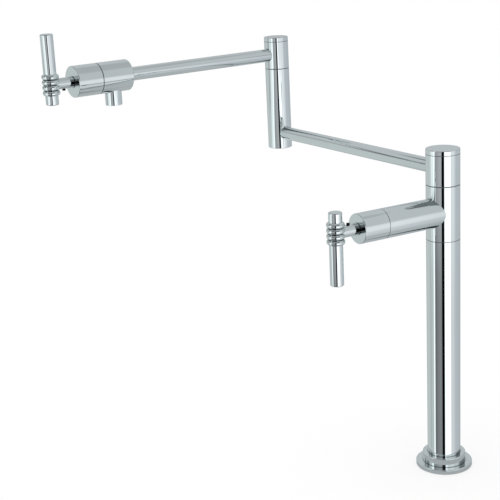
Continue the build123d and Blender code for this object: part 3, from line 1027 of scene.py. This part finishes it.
CAMERA_PLACE = (1.0899262, -0.8755607, 0.6839187)
CAMERA_RIGHT = (0.5023874, 0.8633276, -0.0476692)
CAMERA_UP = (-0.2162069, 0.1788128, 0.9598336)
CAMERA_BACK = (0.8371747, -0.4719019, 0.2764907)
CAMERA_LENS = 87.84
SENSOR_WIDTH = 36.0
SIGHT_END = 50.0

camera_data = bpy.data.cameras.new("photograph_view")
camera_data.lens = CAMERA_LENS
camera_data.sensor_width = SENSOR_WIDTH
camera_data.clip_end = SIGHT_END
camera = in_scene("photograph_view", camera_data)
camera_turn = Matrix((CAMERA_RIGHT, CAMERA_UP, CAMERA_BACK)).transposed().to_4x4()
camera.matrix_world = Matrix.Translation(CAMERA_PLACE) @ camera_turn
bpy.context.scene.camera = camera
bpy.context.scene.view_settings.view_transform = "Standard"


# Floor, walls and light, in metres

FLOOR_REACH = 4.0
TABLE_RADIUS = 0.062
SHADOW_FADE = (0.05, 0.25)
SHADOW_WHITENESS = 0.75
WALL_CENTRE = Vector((-0.15, -0.1, 0.0))
WALL_LOW = -2.2
WALL_HIGH = 2.4
WALL_SIDES = 128

# Levels of light, where 1 is white
FLOOR_LEVEL = 0.96
TABLE_LEVEL = 0.43
CEILING_LEVEL = 0.56
ZENITH_LEVEL = 0.46
GROUND_LEVEL = 0.48
NADIR_LEVEL = 0.2
VEIL_LEVEL = 0.84
DARK_FRONT_LEVEL = 0.12
SHADE_LEVEL = 0.43
FLAG_LEVEL = 0.19
HOOD_LEVEL = 0.2
CURTAIN_LEVEL = 0.01

# Tints of the light
COOL = (0.955, 1.0, 1.025)
LEFT_TINT = rgb(0.93, 1.0, 1.0)
MIDDLE_TINT = rgb(0.98, 1.0, 1.03)
RIGHT_TINT = rgb(0.935, 1.0, 1.06)

# Cards hung round the walls: degrees to the right of the camera, light level low down, light level high up
WALL_CARDS = [
    # behind the object, and the wall on its left
    (-178, 0.4, 0.4),
    (-150, 0.6, 0.62),
    (-116, 0.6, 0.58),
    (-104, 0.54, 0.64),
    (-94, 0.48, 0.68),
    # a bright card at the left
    (-86, 0.62, 1.0),
    (-76, 0.52, 0.92),
    (-69, 0.75, 1.1),
    (-66, 1.2, 1.2),
    (-58, 1.2, 1.2),
    # a dark card from there to the camera
    (-56, 0.15, 0.34),
    (-46, 0.16, 0.34),
    (-37, 0.22, 0.39),
    (-20, 0.25, 0.45),
    (-10, 0.21, 0.43),
    # a black strip at the camera
    (-8, 0.0, 0.0),
    (8, 0.0, 0.0),
    # a white card right of the camera
    (9, 1.3, 1.3),
    (47, 1.3, 1.3),
    # the wall on the right
    (50, 0.6, 0.75),
    (58, 0.74, 0.82),
    (64, 0.7, 0.84),
    (75, 0.6, 0.68),
    (86, 0.54, 0.55),
    (116, 0.52, 0.54),
    (132, 0.46, 0.49),
    (150, 0.45, 0.49),
]

# Stretches of the wall, in turns: 0.5 is at the camera, less is to its left, 0 and 1 are behind the object.
# Each starts at the first number, is full from the second to the third, and ends at the fourth.
FRONT = (0.22, 0.25, 0.63, 0.66)
STREAK = (0.305, 0.315, 0.34, 0.345)
CURTAIN = (0.34, 0.345, 0.522, 0.53)
VEIL = (0.535, 0.56, 0.63, 0.66)
SHADE = (0.165, 0.178, 0.212, 0.225)
LEFT_FLAG = (0.11, 0.14, 0.22, 0.28)
FLAG_GAP = (0.155, 0.162, 0.188, 0.2)
RIGHT_FLAG = (0.7, 0.75, 0.87, 0.9)
HOOD = (0.06, 0.1, 0.65, 0.68)
FLAG_GAP_DEPTH = 0.65

# Heights on the wall: either the same four numbers, or where a change starts and where it is full
SHADE_HEIGHTS = (0.14, 0.2, 0.34, 0.42)
FLAG_HEIGHTS = (0.55, 0.63, 0.9, 1.0)
CARDS_HIGH = (-0.3, 0.05)
VEIL_UP = (0.12, 0.3)
CEILING_UP_BEHIND = (0.4, 0.8)
DARK_FRONT_UP = (0.55, 1.1)
HOOD_UP = (1.68, 1.8)
CEILING_UP = (2.0, WALL_HIGH)
CURTAIN_DOWN = (-0.8, -1.2)
GROUND_DOWN = (-1.8, WALL_LOW)

# Where the tints change, and how far the cards lean out of plumb, in turns
LEFT_TINT_END = (0.3, 0.36)
RIGHT_TINT_START = (0.68, 0.74)
SLANT = 0.5
SLANT_LIMIT = 0.053
SLANT_HEIGHTS = (0.05, 0.3, 0.5, 0.65)
LEAN = -0.018
LEAN_LIMIT = 0.012
LEAN_STRETCH = (0.41, 0.36)

# Heights of the surroundings past the walls, as shares of straight up
ZENITH_UP = (0.6, 0.87)
NADIR_DOWN = (-0.87, -0.91)

camera_side = Vector(CAMERA_PLACE) - WALL_CENTRE
camera_side.z = 0
wall_radius = camera_side.length
camera_side.normalize()
right_side = UP.cross(camera_side)


def cool(level):
    """Light of this level with the studio's cool tint."""
    return rgb(*(level * share for share in COOL))


def studio_piece(name, points, faces, material):
    mesh = bpy.data.meshes.new(name)
    mesh.from_pydata(points, [], faces)
    mesh.materials.append(material)
    return in_scene(name, mesh)


def floor():
    """A white floor with a faint contact shadow. Polished metal sees only a grey disc of it at the foot."""
    corners = [(x * FLOOR_REACH, y * FLOOR_REACH, 0) for x, y in ((-1, -1), (1, -1), (1, 1), (-1, 1))]
    material, tree = blank_material("pale_floor")
    where = tree.add("ShaderNodeTexCoord", "Object")
    distance = tree.vectors("LENGTH", where, output="Value")
    matt = tree.add("ShaderNodeBsdfDiffuse", Color=grey(FLOOR_LEVEL))
    glow = tree.add("ShaderNodeEmission", Color=grey(1.0), Strength=1.0)
    whiteness = tree.smooth(distance, *SHADOW_FADE, SHADOW_WHITENESS, 1.0)
    seen = tree.add("ShaderNodeMixShader", _0=whiteness, _1=matt, _2=glow)
    table = tree.add("ShaderNodeEmission", Color=cool(TABLE_LEVEL), Strength=1.0)
    clear = tree.add("ShaderNodeBsdfTransparent")
    beyond = tree.maths("GREATER_THAN", distance, TABLE_RADIUS)
    reflected = tree.add("ShaderNodeMixShader", _0=beyond, _1=table, _2=clear)
    mirrored = tree.add("ShaderNodeLightPath", "Is Glossy Ray")
    surface = tree.add("ShaderNodeMixShader", _0=mirrored, _1=seen, _2=reflected)
    tree.add("ShaderNodeOutputMaterial", Surface=surface)
    studio_piece("floor", corners, [(0, 1, 2, 3)], material)


def cards(column):
    """The levels round the walls as a ramp, in one of the two level columns of the card list."""
    return [(row[0] / 360 + 0.5, grey(row[column])) for row in WALL_CARDS]


def wall_place(tree):
    """How far round the walls a point lies, corrected for the lean of the cards there, and how high."""
    spot = tree.vectors("SUBTRACT", tree.add("ShaderNodeTexCoord", "Object"), WALL_CENTRE)
    height = tree.along(spot, UP)
    turns = tree.maths("ARCTAN2", tree.along(spot, right_side), tree.along(spot, camera_side)) / (2 * pi)
    across = turns + 0.5
    slant = tree.held((0.5 - across) * SLANT, 0.0, SLANT_LIMIT)
    across = across - slant * tree.band(height, *SLANT_HEIGHTS)
    lean = tree.held(height * LEAN, 0.0, LEAN_LIMIT)
    return across + lean * tree.smooth(across, *LEAN_STRETCH), height


def carded(tree, across, height):
    """The light of the cards, veiled at the right of the camera and tinted."""
    low = tree.add("ShaderNodeValToRGB", stops=cards(1), Fac=across)
    high = tree.add("ShaderNodeValToRGB", stops=cards(2), Fac=across)
    seen = tree.colours(tree.smooth(height, *CARDS_HIGH), low, high)
    veil = tree.band(across, *VEIL) * tree.smooth(height, *VEIL_UP)
    seen = tree.colours(veil, seen, grey(VEIL_LEVEL))
    tint = tree.colours(tree.smooth(across, *LEFT_TINT_END), LEFT_TINT, MIDDLE_TINT)
    tint = tree.colours(tree.smooth(across, *RIGHT_TINT_START), tint, RIGHT_TINT)
    return tree.vectors("MULTIPLY", seen, tint)


def hung_in_front(tree, across, height):
    """What hangs in front of the cards, from the first to the last: each one's mask and its light."""
    front = tree.band(across, *FRONT)
    curtain = tree.band(across, *CURTAIN)
    streak = tree.band(across, *STREAK)
    shade = tree.band(across, *SHADE) * tree.band(height, *SHADE_HEIGHTS)
    gap = tree.band(across, *FLAG_GAP) * FLAG_GAP_DEPTH
    flags = tree.band(across, *LEFT_FLAG) * (1 - gap) + tree.band(across, *RIGHT_FLAG)
    hood = tree.band(across, *HOOD) * tree.smooth(height, *HOOD_UP)
    foot = tree.smooth(height, *CURTAIN_DOWN)
    ceiling = cool(CEILING_LEVEL)
    ground = cool(GROUND_LEVEL)
    return [
        ((1 - front) * tree.smooth(height, *CEILING_UP_BEHIND), ceiling),
        (front * (1 - streak) * tree.smooth(height, *DARK_FRONT_UP), cool(DARK_FRONT_LEVEL)),
        (shade, cool(SHADE_LEVEL)),
        (flags * tree.band(height, *FLAG_HEIGHTS), cool(FLAG_LEVEL)),
        (tree.smooth(height, *CEILING_UP), ceiling),
        (hood, cool(HOOD_LEVEL)),
        (foot * curtain, grey(CURTAIN_LEVEL)),
        (foot * (1 - curtain), ground),
        (tree.smooth(height, *GROUND_DOWN), ground),
    ]


def walls():
    """The studio's walls, an open ring through the camera that only reflections see."""
    points = []
    for level in (WALL_LOW, WALL_HIGH):
        for index in range(WALL_SIDES):
            points.append(WALL_CENTRE + toward(360 * index / WALL_SIDES) * wall_radius + UP * level)
    faces = []
    for index in range(WALL_SIDES):
        on = (index + 1) % WALL_SIDES
        faces.append((index, on, WALL_SIDES + on, WALL_SIDES + index))
    material, tree = blank_material("studio_walls")
    across, height = wall_place(tree)
    seen = carded(tree, across, height)
    for mask, light in hung_in_front(tree, across, height):
        seen = tree.colours(mask, seen, light)
    glow = tree.add("ShaderNodeEmission", Color=seen, Strength=1.0)
    tree.add("ShaderNodeOutputMaterial", Surface=glow)
    ring = studio_piece("studio_walls", points, faces, material)
    ring.visible_camera = False
    ring.visible_diffuse = False
    ring.visible_transmission = False
    ring.visible_shadow = False


def surroundings():
    """White surroundings. Polished metal sees a grey ceiling and ground past the ends of the walls."""
    world = bpy.data.worlds.new("studio")
    bpy.context.scene.world = world
    world.use_nodes = True
    tree = Tree(world.node_tree)
    height = tree.along(tree.add("ShaderNodeTexCoord", "Generated"), UP)
    above = tree.colours(tree.smooth(height, *ZENITH_UP), cool(CEILING_LEVEL), cool(ZENITH_LEVEL))
    below = tree.colours(tree.smooth(height, *NADIR_DOWN), cool(GROUND_LEVEL), cool(NADIR_LEVEL))
    seen = tree.colours(tree.maths("GREATER_THAN", height, 0.0), below, above)
    rays = tree.add("ShaderNodeLightPath", "Is Glossy Ray")
    plain = tree.add("ShaderNodeBackground", Color=grey(1.0), Strength=1.0)
    mirrored = tree.add("ShaderNodeBackground", Color=seen, Strength=1.0)
    surface = tree.add("ShaderNodeMixShader", _0=rays, _1=plain, _2=mirrored)
    tree.add("ShaderNodeOutputWorld", Surface=surface)


floor()
walls()
surroundings()
